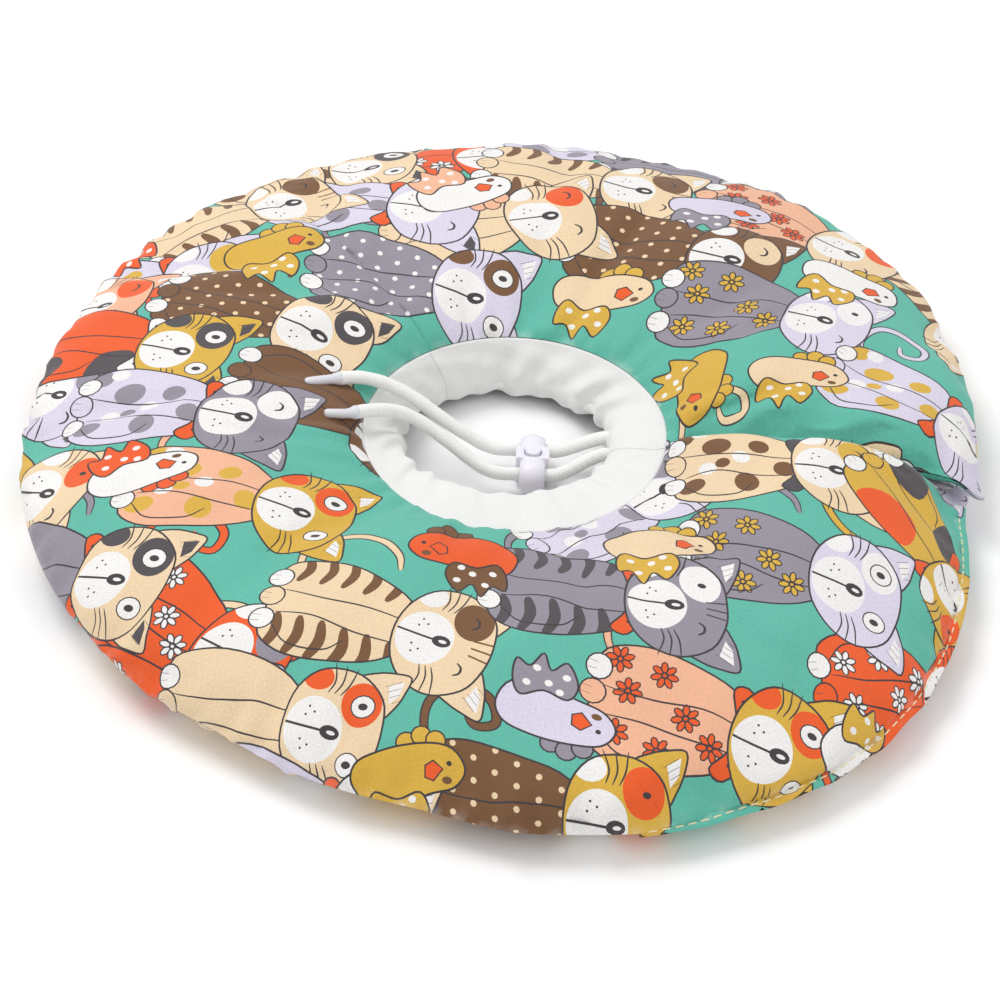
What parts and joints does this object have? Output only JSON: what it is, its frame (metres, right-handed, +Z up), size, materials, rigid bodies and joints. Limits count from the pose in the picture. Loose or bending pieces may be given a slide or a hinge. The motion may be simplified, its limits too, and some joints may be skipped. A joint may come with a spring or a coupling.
{
  "type": "padded elizabethan collar",
  "caption": "Soft padded ring collar for a pet, with a radial hook-and-loop closure, a gathered neck sleeve and a drawstring with a spring cord lock.",
  "frame": {"origin": "centre of the ring on the surface it lies on", "axes": "+X from the centre to the closure, +Y to the rear half, +Z up"},
  "size_m": [0.3, 0.3, 0.0301],
  "materials": {
    "printed_cotton": "woven cotton with an all-over cat print",
    "fibre_filling": "loose polyester fibre",
    "white_cotton": "plain woven cotton, gathered",
    "white_cord": "round braided cord",
    "aglet_plastic": "thin shrunk plastic tube",
    "hook_nylon": "stiff nylon hooks on a woven tape",
    "loop_nylon": "soft nylon loops on a woven tape",
    "lock_plastic": "moulded, slightly translucent",
    "spring_steel": "drawn wire"
  },
  "bodies": {
    "rear_half": {"rear_top_cover": "printed_cotton", "rear_bottom_cover": "printed_cotton", "rear_padding": "fibre_filling", "rear_sleeve": "white_cotton", "rear_channel": "white_cotton", "rear_drawstring": "white_cord", "far_cord_end": "white_cord", "near_cord_end": "white_cord", "far_aglet": "aglet_plastic", "near_aglet": "aglet_plastic"},
    "closure_flap": {"flap_top_cover": "printed_cotton", "flap_bottom_cover": "printed_cotton", "flap_padding": "fibre_filling", "hook_tape": "hook_nylon"},
    "front_half": {"front_top_cover": "printed_cotton", "front_bottom_cover": "printed_cotton", "front_padding": "fibre_filling", "front_sleeve": "white_cotton", "front_channel": "white_cotton", "front_drawstring": "white_cord", "loop_tape": "loop_nylon", "edge_hem": "printed_cotton"},
    "cord_lock": {"lock_body": "lock_plastic", "lock_spring": "spring_steel"},
    "lock_button": {"lock_button": "lock_plastic"}
  },
  "joints": [
    {"name": "ring_spread", "type": "hinge", "parent": "rear_half", "child": "front_half", "pos_m": [-0.1505, 0, 0], "axis": [0, 0, -1], "range_deg": [0, 10]},
    {"name": "flap_peel", "type": "hinge", "parent": "rear_half", "child": "closure_flap", "pos_m": [0.04674, -0.00491, 0.0122], "axis": [-0.6947, -0.7193, 0], "range_deg": [0, 50]},
    {"name": "lock_slide", "type": "slide", "parent": "rear_half", "child": "cord_lock", "axis": [1, 0, 0], "range_m": [-0.006, 0.003]},
    {"name": "button_press", "type": "slide", "parent": "cord_lock", "child": "lock_button", "axis": [0, 0, -1], "range_m": [0, 0.0014], "stiffness_N_per_m": 600, "springref_m": -0.002, "deforming": ["lock_spring"]}
  ]
}
